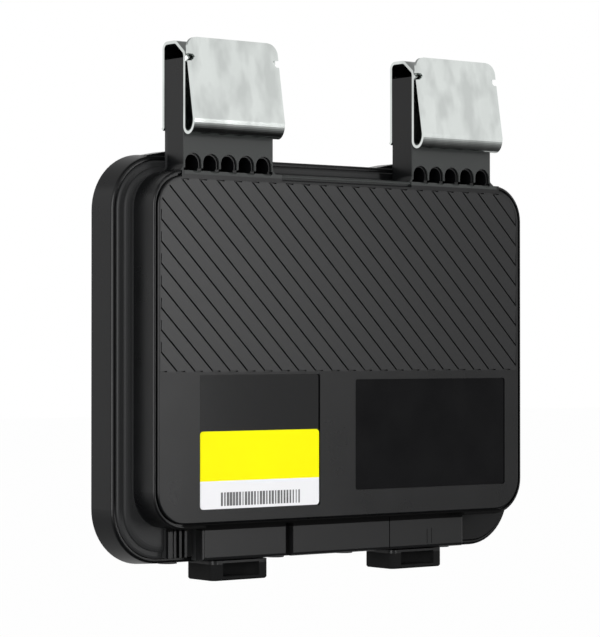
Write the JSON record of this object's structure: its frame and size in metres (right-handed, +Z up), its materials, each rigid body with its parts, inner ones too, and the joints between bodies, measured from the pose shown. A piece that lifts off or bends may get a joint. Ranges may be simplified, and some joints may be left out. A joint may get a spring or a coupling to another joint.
{
  "type": "power optimizer",
  "caption": "Flat sealed electronics box for a solar panel, with a grooved front cover, label, dark plate, small feet and spring clips on uprights that grip the panel frame's flange.",
  "frame": {"origin": "where the panel frame's flange seats: midway between the two spring clips, at the bottom of their slots", "axes": "+Z up, the way the flange leaves the clips; the front face looks along -Y, the rear along +Y; +X is to the right of a viewer facing the front"},
  "size_m": [0.1388, 0.0236, 0.1412],
  "materials": {
    "cover_plastic": "fine satin grain",
    "housing_plastic": "satin",
    "spring_steel": "mill finish, faintly mottled",
    "label_film": "printed film, yellow field over a white strip with bars",
    "rating_film": "dark satin film, blank",
    "seal_rubber": "matte",
    "sleeve_rubber": "matte",
    "board_laminate": "solder mask",
    "screw_steel": "zinc plated",
    "ferrite": "matte",
    "winding_copper": "enamelled copper",
    "capacitor_can": "bare",
    "chip_ceramic": "matte",
    "chip_body": "moulded epoxy",
    "pad_silicone": "matte",
    "spreader_aluminium": "milled",
    "shield_steel": "tinned",
    "antenna_ceramic": "matte",
    "terminal_brass": "bare"
  },
  "bodies": {
    "root": {"front_cover": "cover_plastic", "rear_housing": "housing_plastic", "housing_seal": "seal_rubber", "clip_left": "spring_steel", "clip_right": "spring_steel", "id_label": "label_film", "rating_plate": "rating_film", "circuit_board": "board_laminate", "board_screws": "screw_steel", "inductor_core": "ferrite", "inductor_winding": "winding_copper", "input_capacitors": "capacitor_can", "output_capacitors": "capacitor_can", "filter_capacitors": "chip_ceramic", "power_transistors": "chip_body", "thermal_pad": "pad_silicone", "heat_spreader": "spreader_aluminium", "bypass_diode": "chip_body", "current_shunt": "screw_steel", "controller_chip": "chip_body", "clock_crystal": "shield_steel", "radio_chip": "chip_body", "radio_shield": "shield_steel", "radio_antenna": "antenna_ceramic", "cable_terminals": "terminal_brass", "sleeve_input_pos": "sleeve_rubber", "sleeve_input_neg": "sleeve_rubber", "sleeve_output_pos": "sleeve_rubber", "sleeve_output_neg": "sleeve_rubber"}
  },
  "joints": []
}
